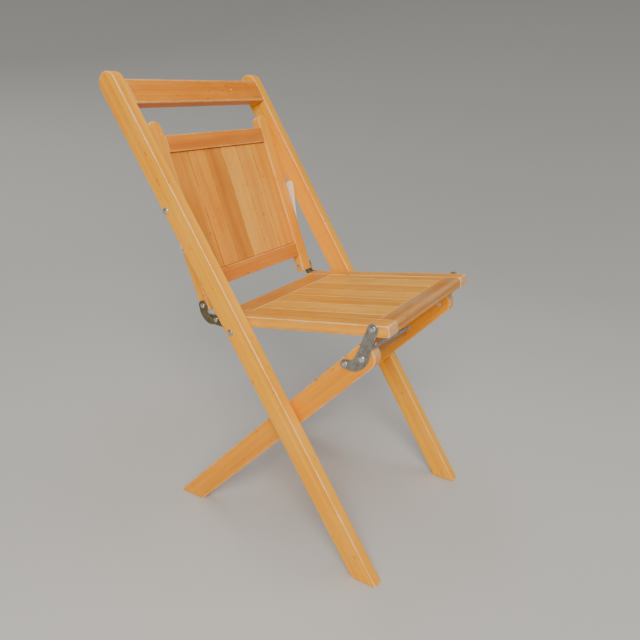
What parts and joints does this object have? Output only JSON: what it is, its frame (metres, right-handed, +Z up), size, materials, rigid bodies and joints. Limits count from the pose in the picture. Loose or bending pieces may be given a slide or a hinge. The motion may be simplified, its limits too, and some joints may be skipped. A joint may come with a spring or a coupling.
{
  "type": "folding chair",
  "caption": "Open wooden slat folding chair: long leaning posts, pivoted back panel, slatted seat, crossing rear legs and steel fold plates.",
  "frame": {"origin": "on the floor, under the centre of the open chair's bounding box", "axes": "+Z up, -Y the way the sitter faces, X across the width"},
  "size_m": [0.3856, 0.5495, 0.775],
  "materials": {
    "post_wood": "aged honey varnish on hardwood, worn pale along the edges",
    "rail_wood": "aged orange varnish",
    "stile_wood": "aged honey varnish",
    "leg_wood": "aged honey varnish, worn at the ends",
    "seat_wood": "worn varnish",
    "slat_tan": "thin worn varnish",
    "slat_orange": "thin worn varnish",
    "slat_pale": "thin worn varnish",
    "fold_steel": "aged stamped steel, dull and lightly browned",
    "nickel": "worn nickel plate, domed heads"
  },
  "bodies": {
    "frame": {"left_back_link_bolt": "nickel", "left_post": "post_wood", "left_seat_pivot_bolt": "nickel", "right_back_link_bolt": "nickel", "right_post": "post_wood", "right_seat_pivot_bolt": "nickel", "top_rail": "rail_wood"},
    "seat": {"left_back_pivot_rivet": "nickel", "left_bracket_rivet": "nickel", "left_seat_bracket": "fold_steel", "left_seat_front_rivet": "nickel", "left_seat_rail": "seat_wood", "right_back_pivot_rivet": "nickel", "right_bracket_rivet": "nickel", "right_seat_bracket": "fold_steel", "right_seat_front_rivet": "nickel", "right_seat_rail": "seat_wood", "seat_front_rail": "rail_wood", "seat_rear_rail": "seat_wood", "seat_slat_1": "slat_orange", "seat_slat_2": "slat_tan", "seat_slat_3": "slat_orange", "seat_slat_4": "slat_tan", "seat_slat_5": "slat_orange", "seat_slat_6": "slat_tan", "seat_slat_7": "slat_orange"},
    "right_hook": {"right_hook_plate": "fold_steel", "right_hook_stud": "nickel", "right_leg_pivot_rivet": "nickel"},
    "left_hook": {"left_hook_plate": "fold_steel", "left_hook_stud": "nickel", "left_leg_pivot_rivet": "nickel"},
    "rear_legs": {"left_rear_leg": "leg_wood", "left_stop_pin": "nickel", "lower_leg_stretcher": "leg_wood", "right_rear_leg": "leg_wood", "right_stop_pin": "nickel", "upper_leg_stretcher": "leg_wood"},
    "back_panel": {"back_slat_1": "slat_tan", "back_slat_2": "slat_orange", "back_slat_3": "slat_tan", "back_slat_4": "slat_pale", "back_slat_5": "slat_orange", "back_slat_6": "slat_pale", "left_back_stile": "stile_wood", "panel_bottom_rail": "rail_wood", "panel_top_rail": "rail_wood", "right_back_stile": "stile_wood"},
    "right_link": {"right_back_link": "fold_steel", "right_link_stud": "nickel"},
    "left_link": {"left_back_link": "fold_steel", "left_link_stud": "nickel"}
  },
  "joints": [
    {"name": "seat_fold", "type": "hinge", "parent": "frame", "child": "seat", "pos_m": [0, 0.02051, 0.38904], "axis": [1, 0, 0], "range_deg": [0, 65.51]},
    {"name": "right_hook_turn", "type": "hinge", "parent": "seat", "child": "right_hook", "pos_m": [-0.1633, -0.22432, 0.44455], "axis": [1, 0, 0], "range_deg": [0, 24.2]},
    {"name": "left_hook_turn", "type": "hinge", "parent": "seat", "child": "left_hook", "pos_m": [0.1633, -0.22432, 0.44455], "axis": [1, 0, 0], "range_deg": [0, 24.2]},
    {"name": "leg_turn", "type": "hinge", "parent": "right_hook", "child": "rear_legs", "pos_m": [0, -0.20902, 0.39295], "axis": [1, 0, 0], "range_deg": [0, 14.22]},
    {"name": "back_turn", "type": "hinge", "parent": "seat", "child": "back_panel", "pos_m": [0, 0.09985, 0.41175], "axis": [1, 0, 0], "range_deg": [-73.3, 0]},
    {"name": "right_link_turn", "type": "hinge", "parent": "frame", "child": "right_link", "pos_m": [-0.1633, 0.14676, 0.57034], "axis": [1, 0, 0], "range_deg": [-69.87, 0]},
    {"name": "left_link_turn", "type": "hinge", "parent": "frame", "child": "left_link", "pos_m": [0.1633, 0.14676, 0.57034], "axis": [1, 0, 0], "range_deg": [-69.87, 0]}
  ],
  "couplings": [
    {"joint": "right_hook_turn", "follows": "seat_fold", "ratio": 0.36636},
    {"joint": "left_hook_turn", "follows": "seat_fold", "ratio": 0.36636},
    {"joint": "leg_turn", "follows": "seat_fold", "ratio": 0.21401},
    {"joint": "back_turn", "follows": "seat_fold", "ratio": -1.1143},
    {"joint": "right_link_turn", "follows": "seat_fold", "ratio": -1.062},
    {"joint": "left_link_turn", "follows": "seat_fold", "ratio": -1.062}
  ]
}
